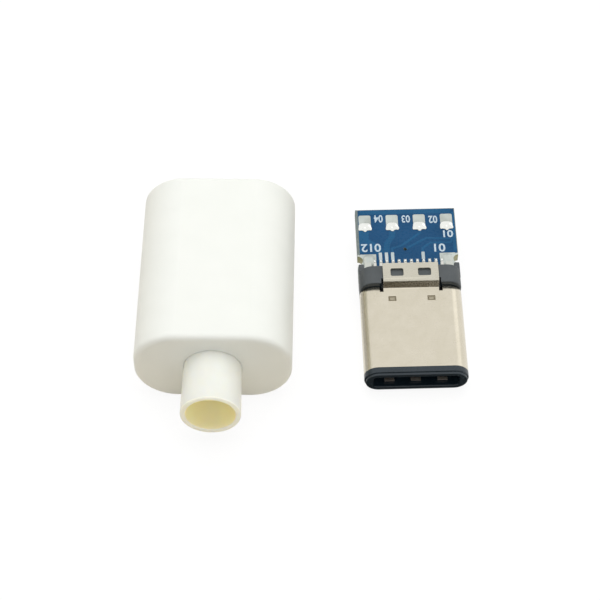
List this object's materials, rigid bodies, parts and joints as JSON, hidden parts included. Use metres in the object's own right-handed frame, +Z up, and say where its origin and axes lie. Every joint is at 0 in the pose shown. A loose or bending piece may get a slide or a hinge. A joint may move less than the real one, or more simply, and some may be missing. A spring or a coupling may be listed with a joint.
{
  "type": "usb-c plug",
  "caption": "Reversible plug with a round-sided metal shell on a small blue wiring board, beside its white slide-on housing with a cable sleeve.",
  "frame": {"origin": "under the middle of the plug and its housing as they lie, on the surface they rest on", "axes": "+X from the housing to the plug, +Y from the cable sleeve along the housing, +Z up"},
  "size_m": [0.0262, 0.022, 0.0077],
  "materials": {
    "plated_steel": "satin nickel plating on drawn steel sheet",
    "spring_steel": "dull spring steel",
    "black_plastic": "moulded glass-filled plastic",
    "contact_gold": "gold flash on copper alloy",
    "board_blue": "blue solder mask on glass laminate",
    "pad_tin": "hot-tinned copper",
    "solder": "bright solder",
    "white_plastic": "satin moulded plastic",
    "sleeve_plastic": "soft moulded plastic"
  },
  "bodies": {
    "root": {"metal_shell": "plated_steel", "front_insulator": "black_plastic", "upper_contact_module": "black_plastic", "lower_contact_module": "black_plastic", "latch_plate": "plated_steel", "upper_grounding_spring": "spring_steel", "lower_grounding_spring": "spring_steel", "upper_contact_1": "contact_gold", "upper_contact_2": "contact_gold", "upper_contact_3": "contact_gold", "upper_contact_4": "contact_gold", "upper_contact_5": "contact_gold", "upper_contact_6": "contact_gold", "upper_contact_7": "contact_gold", "upper_contact_8": "contact_gold", "upper_contact_9": "contact_gold", "upper_contact_10": "contact_gold", "upper_contact_11": "contact_gold", "upper_contact_12": "contact_gold", "lower_contact_1": "contact_gold", "lower_contact_2": "contact_gold", "lower_contact_3": "contact_gold", "lower_contact_4": "contact_gold", "lower_contact_5": "contact_gold", "lower_contact_6": "contact_gold", "lower_contact_7": "contact_gold", "lower_contact_8": "contact_gold", "lower_contact_9": "contact_gold", "lower_contact_10": "contact_gold", "lower_contact_11": "contact_gold", "lower_contact_12": "contact_gold", "circuit_board": "board_blue", "wire_pads": "pad_tin", "corner_pads": "pad_tin", "upper_contact_pads": "pad_tin", "lower_contact_pads": "pad_tin", "wire_solder": "solder", "latch_solder": "solder", "upper_contact_solder": "solder", "lower_contact_solder": "solder", "housing_shell": "white_plastic", "cable_sleeve": "sleeve_plastic"}
  },
  "joints": []
}
